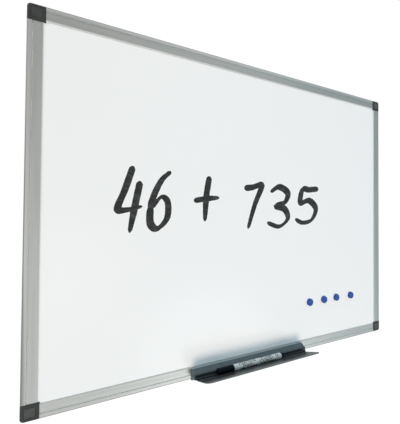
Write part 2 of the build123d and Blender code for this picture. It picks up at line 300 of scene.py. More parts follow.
def make_rail_finish(name, along, across, outer_edge, edge_shade, pale_band, foot, rim_width, rim_painted_light):
    def stretched(width):
        sizes = [width, width, width]
        sizes[along] = LINE_LENGTH
        return sizes

    bright, dull = (0.59, 0.60, 0.575), (0.53, 0.545, 0.52)
    # A painted highlight: the paler band beside the outer edge.
    wear_and_highlight = (0.80, 0.81, 0.79)
    # Painted shade: the outer edge is darker than the face.
    shaded_edge = tuple(c * edge_shade for c in bright)
    rail = Finish(name, bright, 0.38, Metallic=1.0)
    lines = rail.noise(stretched(LINE_WIDTH), detail=4.0)
    marks = rail.noise(stretched(MARK_WIDTH), seed=2.0)
    place = rail.axes(rail.place)
    inside = rail.distance(place[across], outer_edge)
    above_foot = rail.between(place[along], 1.0 - foot, 1.0, FOOT_LOW, FOOT_HIGH)
    shade_end = rail.between(above_foot, EDGE_SHADE_END + FOOT_SHADE_SPREAD, EDGE_SHADE_END, 0.0, 1.0)
    flat = rail.between(inside, 0.0, 1.0, EDGE_SHADE_START, shade_end)
    face = rail.mix(rail.between(marks, 0.0, 1.0), bright, dull)
    fade = rail.between(inside, pale_band, 0.0, HIGHLIGHT_BAND_END, HIGHLIGHT_BAND_END + HIGHLIGHT_BAND_FADE)
    face = rail.mix(rail.combine("MULTIPLY", fade, above_foot), face, wear_and_highlight)
    # Painted light on the inner rim: a pale, dull highlight on most rails and painted shade on the lower
    # one.
    rim_start = RAIL_FACE - rim_width
    inner_rim = rail.between(inside, 0.0, 1.0, rim_start, rim_start + RIM_FADE)
    rim = rail.combine("MULTIPLY", inner_rim, above_foot)
    face = rail.mix(rim, face, rim_painted_light)
    # Painted light: the groove's inside is pale and dull, to lift its shade.
    in_groove = groove_share(rail, inside, place[Y])
    rail.set("Base Color", rail.mix(in_groove, rail.mix(flat, shaded_edge, face), GROOVE_PAINTED_LIGHT))
    rail.set("Metallic", rail.between(rail.combine("MAXIMUM", in_groove, rim), 1.0, 0.0, 0.0, 1.0))
    rail.set("Roughness", rail.between(lines, *LINE_BLUR))
    rail.relief(lines, LINE_DEPTH, rail.soft_edges(EDGE_ROUNDING))
    return rail


print("lines on the rails, width in mm:", round(LINE_WIDTH / MM, 2))

# %% The four rails
BOARD_EDGE_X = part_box("corner_top_right")[1].x
BOARD_EDGE_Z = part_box("corner_top_right")[1].z
# The inner rim's painted light: a pale highlight, and painted shade along the lower rail.
RIM_HIGHLIGHT, RIM_SHADE = (0.68, 0.69, 0.68), (0.46, 0.47, 0.46)
# Each rail: the axis along it, the axis across it, its outer edge, how bright that edge stays under its
# painted shade, how strong the painted highlight in the band beside it is, how much the edge shade widens
# at the foot, and the inner rim's width and painted light.
RAILS = {
    "top": (X, Z, BOARD_EDGE_Z, 0.45, 0.75, 0.0, 3.4 * MM, RIM_HIGHLIGHT),
    "bottom": (X, Z, -BOARD_EDGE_Z, 0.4, 0.0, 0.0, 4.5 * MM, RIM_SHADE),
    "left": (Z, X, -BOARD_EDGE_X, 0.45, 0.4, 1.0, 2.6 * MM, RIM_HIGHLIGHT),
    "right": (Z, X, BOARD_EDGE_X, 0.6, 0.0, 0.0, 4.0 * MM, RIM_HIGHLIGHT),
}
for side, values in RAILS.items():
    dress(make_rail_finish(f"rail_{side}_skin", *values), f"rail_{side}")

# %% [markdown]
# ## Mouldings
# Corner pieces, screw covers and the pen tray are injection moulded. The tool's eroded surface gives a
# grain of a few tenths of a millimetre that scatters highlights. Handling leaves faint paler clouds, and
# the edges are slightly round. Grain could be cut in the mesh, but it would take millions of faces, so
# relief in the shader stands for it. The same function makes all three, with their own colour, gloss and
# depth of grain. The covers are separate parts, and each is given its own grey.

# %% Grained plastic
GRAIN_SIZE = 0.6 * MM
CLOUD_SIZE = 30.0 * MM
PALER, PALER_LIFT = 1.25, 0.004
SMOOTHER, ROUGHER = 0.06, 0.08


def make_moulding(name, colour, roughness, grain_depth, edge_radius, gloss=0.35):
    moulding = Finish(name, colour, roughness, Specular_IOR_Level=gloss)
    paler = tuple(c * PALER + PALER_LIFT for c in colour)
    clouds = moulding.noise(CLOUD_SIZE, detail=3.0)
    moulding.set("Base Color", moulding.mix(moulding.between(clouds, 0.0, 1.0), colour, paler))
    grain = moulding.noise(GRAIN_SIZE)
    moulding.set("Roughness", moulding.between(grain, roughness - SMOOTHER, roughness + ROUGHER))
    moulding.relief(grain, grain_depth, moulding.soft_edges(edge_radius))
    return moulding


# Each cover is given its own grey.
COVER_GREYS = {"top_left": 0.036, "top_right": 0.058, "bottom_left": 0.050, "bottom_right": 0.044}
GREEN_SHARE = 1.03
corner_finish = make_moulding("corner_plastic", (0.025, 0.027, 0.0255), 0.5, 0.04 * MM, 1.2 * MM)
dress(corner_finish, *[f"corner_{where}" for where in COVER_GREYS])
for where, grey in COVER_GREYS.items():
    colour = (grey, grey * GREEN_SHARE, grey)
    cover_finish = make_moulding(f"cover_plastic_{where}", colour, 0.42, 0.02 * MM, 0.6 * MM)
    dress(cover_finish, f"screw_cover_{where}")

# %% [markdown]
# ## Pen tray
# The tray is a moulding too, but its colour changes across it. Shade is painted into its channel and onto
# the lower edge of the back plate, and painted highlights lie on the lip and along the top edge of the
# back plate. The shelf is darker than the plate, with a paler band along it. Such bands could be painted
# on the unwrapped tray. But all of them run along it, so a function lays them over the plain finish by
# the distance from the wall and by height, and each keeps its width in millimetres.

# %% Tray with painted light
PLATE_COLOUR = (0.064, 0.090, 0.100)
PLATE_BELOW_RAIL = 3.3 * MM
PLATE_TOP = RAIL_FACE - BOARD_EDGE_Z - PLATE_BELOW_RAIL
# Painted highlight along the top edge of the back plate.
TOP_HIGHLIGHT_START, TOP_HIGHLIGHT_FULL = PLATE_TOP - 1.2 * MM, PLATE_TOP - 0.5 * MM
TRAY_NOSE = FACE - 21.0 * MM
# Painted shade on the plate's lower edge next to the nose, and in the channel below it.
PLATE_START, PLATE_UNSHADED = TRAY_NOSE - 0.5 * MM, TRAY_NOSE + 5.0 * MM
CHANNEL_END, CHANNEL_FADE = TRAY_NOSE - 7.0 * MM, 4.0 * MM
# A paler band along the shelf.
PALE_BAND_MIDDLE, BAND_REACH, BAND_END = TRAY_NOSE - 15.0 * MM, 5.0 * MM, 10.0 * MM
TRAY_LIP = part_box("pen_tray")[0].y
# Painted highlight on the front share of the lip.
LIP_WIDTH, LIP_HIGHLIGHT_SHARE = 26.0 * MM, 0.3


def paint_tray_light_and_bands(tray):
    """Paints shade in the channel, highlights on lip and top edge, a darker shelf and a paler band."""
    # A darker shelf, and a painted highlight on the lip.
    darker_shelf, wear_and_highlight = (0.030, 0.030, 0.031), (0.11, 0.12, 0.12)
    # Painted shade in the channel, and a paler band on the shelf.
    channel_shade, pale_band = (0.012, 0.017, 0.020), (0.078, 0.082, 0.084)
    # Painted highlight along the plate's top edge.
    top_highlight = (0.38, 0.42, 0.43)
    moulded_colour = tray.shader.inputs["Base Color"].links[0].from_socket
    _, depth, height = tray.axes(tray.place)
    on_plate = tray.between(depth, 0.0, 1.0, PLATE_START, PLATE_UNSHADED)
    in_channel = tray.between(depth, 0.0, 1.0, CHANNEL_END - CHANNEL_FADE, CHANNEL_END)
    on_shelf = tray.between(depth, 0.0, 1.0, TRAY_LIP + LIP_WIDTH * LIP_HIGHLIGHT_SHARE, TRAY_LIP + LIP_WIDTH)
    in_band = tray.between(tray.distance(depth, PALE_BAND_MIDDLE), 1.0, 0.0, BAND_REACH, BAND_END)
    shelf = tray.mix(in_band, tray.mix(on_shelf, wear_and_highlight, darker_shelf), pale_band)
    below = tray.mix(in_channel, shelf, channel_shade)
    near_top = tray.between(height, 0.0, 1.0, TOP_HIGHLIGHT_START, TOP_HIGHLIGHT_FULL)
    on_top = tray.combine("MULTIPLY", near_top, on_plate)
    tray.set("Base Color", tray.mix(on_top, tray.mix(on_plate, below, moulded_colour), top_highlight))


tray_finish = make_moulding("tray_plastic", PLATE_COLOUR, 0.3, 0.02 * MM, 0.6 * MM, gloss=0.5)
paint_tray_light_and_bands(tray_finish)
dress(tray_finish, "pen_tray")

# %% [markdown]
# ## Behind the sheet
# The core is brown wood fibre board and the back is a thin aluminium sheet as it leaves the mill, with
# fine rolling lines along its length and faint stains. Noise draws both, stretched as the fibres and the
# lines run. The screws are zinc plated steel. Zinc grows in crystals, so its skin shows flat patches of
# slightly different grey. Noise would blur them, but Voronoi cells keep their sharp borders.

# %% Core and backing
FIBRE_SIZE, FIBRE_DEPTH = (4.0 * MM, 0.8 * MM, 4.0 * MM), 0.2 * MM
ROLLING_SIZE, ROLLING_DEPTH = (400.0 * MM, 400.0 * MM, 1.5 * MM), 0.02 * MM
ROLLING_BLUR = (0.38, 0.5)
STAIN_SIZE = 120.0 * MM


def make_core_finish():
    light, dark = (0.42, 0.29, 0.17), (0.27, 0.18, 0.10)
    core = Finish("fibre_board", light, 0.85)
    fibres = core.noise(FIBRE_SIZE, detail=6.0)
    core.set("Base Color", core.mix(core.between(fibres, 0.0, 1.0), light, dark))
    core.relief(fibres, FIBRE_DEPTH)
    return core


def make_mill_finish():
    light, dark = (0.56, 0.57, 0.58), (0.50, 0.51, 0.52)
    sheet = Finish("mill_aluminium", light, 0.42, Metallic=1.0)
    rolling = sheet.noise(ROLLING_SIZE, detail=4.0)
    stains = sheet.noise(STAIN_SIZE, detail=3.0, seed=5.0)
    sheet.set("Base Color", sheet.mix(sheet.between(stains, 0.0, 1.0), light, dark))
    sheet.set("Roughness", sheet.between(rolling, *ROLLING_BLUR))
    sheet.relief(rolling, ROLLING_DEPTH)
    return sheet


dress(make_core_finish(), "core_board")
dress(make_mill_finish(), "backing_sheet")

# %% Zinc screws
CRYSTAL_SIZE = 1.0 * MM
CRYSTAL_BLUR = (0.36, 0.55)
DARKER_CRYSTAL = 0.82
UNEVEN_SIZE, UNEVEN_DEPTH = 60.0 * MM, 0.2 * MM


def make_zinc_finish():
    light = (0.62, 0.62, 0.60)
    dark = tuple(c * DARKER_CRYSTAL for c in light)
    zinc = Finish("screw_zinc", light, 0.42, Metallic=1.0)
    mapping = zinc.node("ShaderNodeMapping", {"Vector": zinc.place, "Scale": [1 / CRYSTAL_SIZE] * 3})
    cells = zinc.node("ShaderNodeTexVoronoi", {"Vector": mapping.outputs[0], "Scale": 1.0})
    crystal = zinc.node("ShaderNodeSeparateColor", {"Color": cells.outputs["Color"]}).outputs[0]
    zinc.set("Base Color", zinc.mix(crystal, light, dark))
    zinc.set("Roughness", zinc.between(crystal, *CRYSTAL_BLUR, 0.0, 1.0))
    zinc.relief(zinc.noise(UNEVEN_SIZE), UNEVEN_DEPTH)
    return zinc


screw_finish = make_zinc_finish()
dress(screw_finish, "corner_screws")

# %% [markdown]
# ## The marker
# The cap, the tail plug and the nib holder are glossy black plastic, the barrel is grey plastic, and a
# printed film is wrapped round it. Fingers leave smears on all of them. Smears could tint the colour, but
# on smooth plastic only the highlights show them, so they change the gloss. One function serves all these
# parts, because they differ in colour and shine alone. The film gets a small share of metal, as it shines
# more than bare plastic. The nib and the ink core are felt, with fine fibres along the marker.

# %% Marker finishes
SMEAR_SIZE = (20.0 * MM, 6.0 * MM, 6.0 * MM)
CLEANER, SMEARED = 0.05, 0.12
DIMPLE_SIZE, DIMPLE_DEPTH = 4.0 * MM, 0.03 * MM
GLOSS_EDGE = 0.6 * MM
COLD_SHEEN = (0.5, 0.85, 1.0, 1.0)
FELT_SIZE, FELT_DEPTH = (1.6 * MM, 0.3 * MM, 0.3 * MM), 0.2 * MM


def make_gloss(name, colour, roughness, **settings):
    gloss = Finish(name, colour, roughness, **settings)
    smears = gloss.noise(SMEAR_SIZE, detail=4.0)
    gloss.set("Roughness", gloss.between(smears, roughness - CLEANER, roughness + SMEARED))
    gloss.relief(gloss.noise(DIMPLE_SIZE, detail=1.0), DIMPLE_DEPTH, gloss.soft_edges(GLOSS_EDGE))
    return gloss


def make_felt():
    black, grey = (0.012, 0.012, 0.014), (0.05, 0.05, 0.055)
    felt = Finish("felt", black, 0.9)
    fibres = felt.noise(FELT_SIZE, detail=6.0)
    felt.set("Base Color", felt.mix(felt.between(fibres, 0.0, 1.0), black, grey))
    felt.relief(fibres, FELT_DEPTH)
    return felt


black_finish = make_gloss(
    "marker_black", (0.002, 0.004, 0.006), 0.25, Specular_IOR_Level=0.13, Specular_Tint=COLD_SHEEN
)
dress(black_finish, "marker_cap", "marker_tail_plug", "marker_nib_holder")
dress(make_gloss("marker_barrel_grey", (0.55, 0.56, 0.56), 0.3), "marker_barrel")
dress(make_gloss("marker_film", (0.69, 0.715, 0.69), 0.26, Metallic=0.25), "marker_label")
dress(make_felt(), "marker_nib", "marker_ink_core")

# %% [markdown]
# ## Magnets
# The real magnets have a soft shoulder and a shallow finger dish, which the plain solid shells leave out.
# A turned shape is a profile spun about an axis. A modifier could spin it, but a short function keeps the
# sizes exact and closes both ends, so it makes the shape from the radius and the height of each point.
# Each new shell stands for the solid one and rides with the same magnet. The disc in it is sintered
# ferrite, dark and grainy, so it takes the grain of a moulding.

# %% Making a piece
SHARP_ANGLE = math.radians(40)


def make_piece(name, verts, faces, material, smooth=True):
    mesh = bpy.data.meshes.new(name)
    mesh.from_pydata([tuple(v) for v in verts], [], faces)
    mesh.validate()
    mesh.materials.append(material)
    if smooth:
        mesh.shade_smooth()
        mesh.set_sharp_from_angle(angle=SHARP_ANGLE)
    piece = bpy.data.objects.new(name, mesh)
    bpy.context.scene.collection.objects.link(piece)
    return piece


print("an edge is sharp from", round(math.degrees(SHARP_ANGLE)), "degrees")

# %% Turning a profile
TURN_STEPS = 72
ROUNDING_STEPS = 8
AXLE_RADIUS = 0.2 * MM


def turned_mesh(profile, centre, axis, steps=TURN_STEPS):
    """Points and faces of a closed shape turned about `axis` through `centre`."""
    sideways = axis.orthogonal().normalized()
    upright = axis.cross(sideways)
    verts, faces = [], []
    for radius, height in profile:
        for step in range(steps):
            angle = 2 * math.pi * step / steps
            spoke = sideways * math.cos(angle) + upright * math.sin(angle)
            verts.append(centre + axis * height + spoke * radius)
    for ring in range(len(profile) - 1):
        low, high = ring * steps, (ring + 1) * steps
        for step in range(steps):
            after = (step + 1) % steps
            faces.append((low + step, low + after, high + after, high + step))
    last = (len(profile) - 1) * steps
    faces.append(tuple(reversed(range(steps))))
    faces.append(tuple(range(last, last + steps)))
    return verts, faces


def rounding(radius, height, size):
    """Points of a quarter circle from the side of a disc over to its top."""
    points = []
    for step in range(ROUNDING_STEPS + 1):
        angle = math.pi / 2 * step / ROUNDING_STEPS
        points.append((radius - size * (1 - math.cos(angle)), height - size * (1 - math.sin(angle))))
    return points


print("steps round a turned piece:", TURN_STEPS)

# %% Magnet shells
MAGNET_COUNT = 4
SHOULDER_RADIUS = 2.2 * MM
DISH_SHARE = 0.62
DISH_DEPTH = 0.9 * MM
DISH_STEPS = 8
DISC_PLAY = 0.1 * MM
TOWARDS_FRONT = Vector((0, -1, 0))


def magnet_profile(radius, height, bore, recess):
    """From the bore's roof, out round the foot, over the shoulder and into the dish."""
    points = [(AXLE_RADIUS, recess), (bore, recess), (bore, 0.0), (radius, 0.0)]
    points += rounding(radius, height, SHOULDER_RADIUS)
    dish = radius * DISH_SHARE
    for step in range(DISH_STEPS):
        share = step / DISH_STEPS
        points.append((dish * (1 - share), height - DISH_DEPTH * math.sin(math.pi / 2 * share)))
    points.append((AXLE_RADIUS, height - DISH_DEPTH))
    return points


magnet_finish = make_gloss("magnet_blue", (0.010, 0.060, 0.31), 0.2)
for number in range(1, MAGNET_COUNT + 1):
    low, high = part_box(f"magnet_shell_{number}")
    disc_low, disc_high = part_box(f"magnet_disc_{number}")
    foot = Vector(((low.x + high.x) / 2, high.y, (low.z + high.z) / 2))
    radius = (high.x - low.x) / 2
    bore = (disc_high.x - disc_low.x) / 2 + DISC_PLAY
    profile = magnet_profile(radius, high.y - low.y, bore, high.y - disc_low.y)
    name = f"magnet_{number}_shell"
    shell = make_piece(name, *turned_mesh(profile, foot, TOWARDS_FRONT), magnet_finish.material)
    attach(shell, f"magnet_{number}")
    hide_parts(f"magnet_shell_{number}")
ferrite_finish = make_moulding("ferrite", (0.05, 0.05, 0.055), 0.6, 0.03 * MM, 0.3 * MM)
dress(ferrite_finish, *[f"magnet_disc_{n}" for n in range(1, MAGNET_COUNT + 1)])
print("magnet shells:", MAGNET_COUNT)

# %% [markdown]
# ## Marker cap
# The cap is turned too. Its closed end is rounded, its mouth has a small lead-in, and three ring grooves
# near the mouth give the fingers a grip. The grooves could be cut out of a plain cap, but as steps of the
# profile they leave a clean mesh. The cap stays hollow, because it can be pulled off the marker.

# %% Cap with grip rings
CAP_END_ROUNDING = 2.0 * MM
CAP_WALL = 1.2 * MM
CAP_END_WALL = 2.2 * MM
LEAD_IN = 0.4 * MM
RING_COUNT = 3
RING_PITCH = 2.6 * MM
RING_WIDTH = 1.1 * MM
RING_DEPTH = 0.4 * MM
FIRST_RING = 4.0 * MM


def cap_profile(radius, length):
    """From the bore's floor to the mouth, then back along the outside to the closed end."""
    bore = radius - CAP_WALL
    points = [(AXLE_RADIUS, CAP_END_WALL), (bore, CAP_END_WALL), (bore, length - LEAD_IN)]
    points += [(bore + LEAD_IN, length), (radius - LEAD_IN, length), (radius, length - LEAD_IN)]
    for ring in range(RING_COUNT):
        start = length - FIRST_RING - ring * RING_PITCH
        points += [(radius, start), (radius - RING_DEPTH, start - RING_WIDTH * 0.3)]
        points += [(radius - RING_DEPTH, start - RING_WIDTH * 0.7), (radius, start - RING_WIDTH)]
    points += [(across, -height) for across, height in rounding(radius, 0.0, CAP_END_ROUNDING)]
    return points + [(AXLE_RADIUS, 0.0)]


cap_low, cap_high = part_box("marker_cap")
cap_end = Vector((cap_low.x, (cap_low.y + cap_high.y) / 2, (cap_low.z + cap_high.z) / 2))
profile = cap_profile((cap_high.z - cap_low.z) / 2, cap_high.x - cap_low.x)
cap_mesh = turned_mesh(profile, cap_end, Vector((1, 0, 0)))
cap = make_piece("marker_cap_turned", *cap_mesh, black_finish.material)
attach(cap, "marker_cap")
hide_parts("marker_cap")
print("cap faces:", len(cap.data.polygons))

# %% [markdown]
# ## Screws
# Four countersunk screws hold the top and bottom rails on the legs of the corner pieces. Only their heads
# show, at the back, and each has a cross recess. The recess could be cut with a cross-shaped solid, but
# such a cut can leave slivers. Here the flat of the head is a ring of points round a cross-shaped one,
# and Blender's triangle fill closes the space between them. The rings of the thread are part of the
# turned profile.

# %% Outlines of a screw
SCREW_HEAD_RADIUS = 2.9 * MM
SCREW_HEAD_HEIGHT = 1.2 * MM
SCREW_RADIUS = 1.4 * MM
THREAD_PITCH = 1.1 * MM
THREAD_DEPTH = 0.25 * MM
CROSS_REACH = 1.6 * MM
CROSS_WIDTH = 0.55 * MM
CROSS_DEPTH = 0.8 * MM
CROSS_TAPER = 0.6
HEAD_STEPS = 48


def screw_profile(length):
    """From the rim of the head down the cone and along the thread to the tip."""
    points = [(SCREW_HEAD_RADIUS, 0.0), (SCREW_RADIUS, SCREW_HEAD_HEIGHT)]
    depth = SCREW_HEAD_HEIGHT + THREAD_PITCH / 2
    while depth < length - THREAD_PITCH:
        points += [(SCREW_RADIUS - THREAD_DEPTH, depth), (SCREW_RADIUS, depth + THREAD_PITCH / 2)]
        depth += THREAD_PITCH
    return points + [(SCREW_RADIUS - THREAD_DEPTH, length)]


def cross_outline(scale):
    reach, half = CROSS_REACH * scale, CROSS_WIDTH / 2 * scale
    quarter = [(reach, -half), (reach, half), (half, half)]
    points = []
    for _ in range(4):
        points += quarter
        quarter = [(-z, x) for x, z in quarter]
    return points


print("points round a cross:", len(cross_outline(1.0)))


# %% Screws with a cross recess
def add_screw(mesh, head, length):
    """One screw with its head's flat at `head` and its tip towards the front."""
    verts, faces = turned_mesh(screw_profile(length), head, TOWARDS_FRONT, steps=HEAD_STEPS)
    made = [mesh.verts.new(v) for v in verts]
    for face in faces[:-2] + faces[-1:]:
        mesh.faces.new([made[i] for i in face])
    rim = made[:HEAD_STEPS]
    mouth = [mesh.verts.new(head + Vector((x, 0, z))) for x, z in cross_outline(1.0)]
    sunk = TOWARDS_FRONT * CROSS_DEPTH
    floor = [mesh.verts.new(head + sunk + Vector((x, 0, z))) for x, z in cross_outline(CROSS_TAPER)]
    edges = []
    for loop in (rim, mouth):
        for a, b in zip(loop, loop[1:] + loop[:1]):
            edges.append(mesh.edges.get((a, b)) or mesh.edges.new((a, b)))
    bmesh.ops.triangle_fill(mesh, edges=edges, use_beauty=True)
    count = len(mouth)
    for i in range(count):
        after = (i + 1) % count
        mesh.faces.new((mouth[i], mouth[after], floor[after], floor[i]))
    mesh.faces.new(floor)


screws_low, screws_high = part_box("corner_screws")
screw_mesh = bmesh.new()
for x in (screws_low.x + SCREW_HEAD_RADIUS, screws_high.x - SCREW_HEAD_RADIUS):
    for z in (screws_low.z + SCREW_HEAD_RADIUS, screws_high.z - SCREW_HEAD_RADIUS):
        add_screw(screw_mesh, Vector((x, screws_high.y, z)), screws_high.y - screws_low.y)
bmesh.ops.recalc_face_normals(screw_mesh, faces=screw_mesh.faces)
screws = make_piece("cross_head_screws", [], [], screw_finish.material)
screw_mesh.to_mesh(screws.data)
screw_mesh.free()
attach(screws, "board")
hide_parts("corner_screws")
print("screw faces:", len(screws.data.polygons))

# %% [markdown]
# ## Writing on the board
# A board in use carries a line of figures in black dry-wipe ink. A felt marker lays a band whose width
# changes with the direction of the stroke. It has round, slightly ragged ends, and it thins out where the
# hand lifts. Each figure here is a few strokes on a unit box. A smooth curve runs through a stroke's
# points, and a ribbon with the pen's width is laid along it as a very thin solid, so that the ink is real
# geometry on the sheet.

# %% Strokes of the figures
CURVE_STEPS = 10
FIGURES = {
    "+": [[(0.50, 0.98), (0.47, 0.55), (0.52, 0.06)], [(0.02, 0.47), (0.50, 0.52), (0.98, 0.55)]],
    "3": [[(0.10, 0.86), (0.42, 1.00), (0.80, 0.86), (0.72, 0.62), (0.38, 0.52), (0.74, 0.44),
           (0.90, 0.20), (0.58, 0.00), (0.08, 0.10)]],
    "4": [[(0.42, 1.00), (0.22, 0.64), (0.04, 0.36), (0.40, 0.34), (1.00, 0.40)],
          [(0.78, 0.78), (0.70, 0.40), (0.62, 0.00)]],
    "5": [[(0.92, 0.97), (0.52, 0.93), (0.24, 0.92), (0.20, 0.56), (0.56, 0.62), (0.88, 0.40),
           (0.74, 0.08), (0.36, 0.00), (0.04, 0.10)]],
    "6": [[(0.78, 1.00), (0.40, 0.82), (0.12, 0.46), (0.16, 0.10), (0.50, 0.00), (0.86, 0.18),
           (0.80, 0.46), (0.48, 0.54), (0.16, 0.34)]],
    "7": [[(0.04, 0.92), (0.46, 0.95), (0.96, 1.00), (0.70, 0.56), (0.46, 0.00)]],
}


def smooth_path(points):
    """A Catmull-Rom curve through the points."""
    ends = [points[0] * 2 - points[1], *points, points[-1] * 2 - points[-2]]
    path = []
    for a, b, c, d in zip(ends, ends[1:], ends[2:], ends[3:]):
        for step in range(CURVE_STEPS):
            t = step / CURVE_STEPS
            linear, square, cube = c - a, 2 * a - 5 * b + 4 * c - d, 3 * b - a - 3 * c + d
            path.append(0.5 * (2 * b + linear * t + square * t * t + cube * t ** 3))
    path.append(points[-1])
    return path


print("figures:", "".join(FIGURES))

# %% Edges of a ribbon
PEN_ANGLE = math.radians(35)
NARROWEST_SHARE = 0.52
TAPER_FROM, TAPER = 0.6, 0.42
END_REACH, END_LEAST = 0.45, 0.12
RAGGED = 0.025


def ribbon(path, width, chance):
    """Left and right edges of a stroke, with round ends. Returns two lists of points in the plane."""
    left, right = [], []
    last = len(path) - 1
    reach = width * END_REACH
    for index, point in enumerate(path):
        ahead = (path[min(index + 1, last)] - path[max(index - 1, 0)]).normalized()
        across = Vector((-ahead.y, ahead.x))
        slant = abs(math.sin(math.atan2(ahead.y, ahead.x) - PEN_ANGLE))
        share = NARROWEST_SHARE + (1 - NARROWEST_SHARE) * slant
        share *= 1 - TAPER * max(0.0, (index / last - TAPER_FROM) / (1 - TAPER_FROM))
        run = min((path[index] - path[0]).length, (path[index] - path[last]).length)
        if index in (0, last) or run < reach:
            share *= math.sqrt(max(END_LEAST, 1 - (1 - min(1, run / reach)) ** 2))
        half = width / 2 * share * (1 + chance.uniform(-RAGGED, RAGGED))
        left.append(point + across * half)
        right.append(point - across * half)
    return left, right


print("a ribbon is narrowest at", NARROWEST_SHARE, "of the pen's width")

# %% Strokes as a thin solid
STROKE_LIFT, STEP_LIFT = 0.15, 0.01


def lay_strokes(name, strokes, thickness, seed, place, material):
    """Joins strokes, each a width and its points, into one piece.

    `place` turns (x, z, height above the surface) into a point. Each stroke lies a little higher than the
    one before and rises along its way, so that no two tops share a plane where strokes cross.
    """
    chance = random.Random(seed)
    verts, faces = [], []
    for number, (width, stroke) in enumerate(strokes):
        left, right = ribbon(smooth_path(stroke), width, chance)
        first = len(verts)
        for index, (a, b) in enumerate(zip(left, right)):
            top = thickness * (1 + STROKE_LIFT * number + STEP_LIFT * index)
            verts += [place(a.x, a.y, top), place(b.x, b.y, top)]
            verts += [place(b.x, b.y, 0), place(a.x, a.y, 0)]
        for step in range(len(left) - 1):
            here, there = first + 4 * step, first + 4 * step + 4
            for side in range(4):
                after = (side + 1) % 4
                faces.append((here + side, here + after, there + after, there + side))
        final = first + 4 * (len(left) - 1)
        faces.append((first + 3, first + 2, first + 1, first))
        faces.append((final, final + 1, final + 2, final + 3))
    return make_piece(name, verts, faces, material, smooth=False)


print("each stroke starts", STROKE_LIFT, "of its thickness above the one before")

# %% The line of figures
PEN_WIDTH = 22.0 * MM
# Each figure: how hard the pen was pressed, then left edge, foot, width and height on the board, in
# millimetres from its middle. A pressed tip spreads and lays a wider band.
LINE_OF_FIGURES = [
    ("4", 0.96, -404, -52, 62, 166),
    ("6", 0.98, -326, -42, 62, 150),
    ("+", 0.98, -203, -32, 82, 138),
    ("7", 1.16, -46, -46, 68, 132),
    ("3", 1.14, 47, -40, 100, 126),
    ("5", 1.14, 166, -28, 106, 120),
]
LEAN = 0.12


def figure_strokes(figure, pen, left, foot, width, height, lean):
    """The strokes of a figure that fills a box, leaning to the right by a share of its height."""
    def placed(x, y):
        return Vector((left + width * x + lean * height * (y - 0.5), foot + height * y))

    return [(pen, [placed(x, y) for x, y in stroke]) for stroke in FIGURES[figure]]


print("figures in the line:", len(LINE_OF_FIGURES))

# %% Ink on the sheet
SHEET_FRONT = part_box("writing_sheet")[0].y
INK_THICKNESS = 0.06 * MM
INK_SEED = 4
STREAK_SIZE, STREAK_DEPTH = (20.0 * MM, 20.0 * MM, 8.0 * MM), 0.02 * MM
STREAK_SPAN = (0.45, 0.75)


def on_sheet(x, z, lift):
    return Vector((x, SHEET_FRONT - lift, z))


def make_ink():
    dark, wear_and_highlight = (0.021, 0.022, 0.022), (0.060, 0.062, 0.062)
    ink = Finish("dry_ink", dark, 0.5, IOR=1.35)
    streaks = ink.noise(STREAK_SIZE, detail=5.0)
    ink.set("Base Color", ink.mix(ink.between(streaks, 0.0, 1.0, *STREAK_SPAN), dark, wear_and_highlight))
    ink.relief(streaks, STREAK_DEPTH)
    return ink


ink_finish = make_ink()
strokes = []
for figure, pressure, *sizes in LINE_OF_FIGURES:
    strokes += figure_strokes(figure, PEN_WIDTH * pressure, *[size * MM for size in sizes], LEAN)
figures = lay_strokes("ink_figures", strokes, INK_THICKNESS, INK_SEED, on_sheet, ink_finish.material)
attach(figures, "board")
print("ink strokes:", len(strokes), "faces:", len(figures.data.polygons))

# %% [markdown]
# ## Print on the marker
# The film round the barrel is printed with small dark figures. A texture could hold them, but the strokes
# are at hand and stay sharp from close by. A second placing function wraps the flat line of figures round
# the barrel, by turning height on the line into an angle.

# %% Round the film
PRINT_TURN = math.radians(50)
film_low, film_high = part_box("marker_label")
film_radius = (film_high.z - film_low.z) / 2
film_middle = (film_low + film_high) / 2


def on_film(x, rise, lift):
    angle = PRINT_TURN + rise / film_radius
    reach = film_radius + lift
    return Vector((x, film_middle.y - reach * math.cos(angle), film_middle.z + reach * math.sin(angle)))


print("film radius in mm:", round(film_radius / MM, 2))

# %% Film print
PRINT_FIGURES = "34567"
PRINT_HEIGHT, PRINT_WIDTH = 6.4 * MM, 4.0 * MM
PRINT_GAP = 1.8 * MM
PRINT_PEN = 1.6 * MM
PRINT_THICKNESS = 0.03 * MM
PRINT_LEAN = 0.1
PRINT_SEED, CHOICE_SEED = 5, 11
# The lines of figures: where each starts and ends along the film, and its height above the middle.
PRINT_LINES = [
    (0.08, 0.42, 3.2 * MM), (0.14, 0.34, -4.2 * MM), (0.50, 0.82, -3.4 * MM), (0.56, 0.78, 4.4 * MM),
    (0.88, 0.94, 0.0), (0.10, 0.44, -11.8 * MM), (0.52, 0.86, -11.0 * MM),
]


def print_strokes():
    chance = random.Random(CHOICE_SEED)
    strokes = []
    length = film_high.x - film_low.x
    for start, end, rise in PRINT_LINES:
        x = film_low.x + start * length
        while x < film_low.x + end * length:
            box = (x, rise - PRINT_HEIGHT / 2, PRINT_WIDTH, PRINT_HEIGHT)
            strokes += figure_strokes(chance.choice(PRINT_FIGURES), PRINT_PEN, *box, PRINT_LEAN)
            x += PRINT_WIDTH + PRINT_GAP
    return strokes


film_print = lay_strokes(
    "film_print", print_strokes(), PRINT_THICKNESS, PRINT_SEED, on_film, black_finish.material
)
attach(film_print, "marker")
print("print faces:", len(film_print.data.polygons))

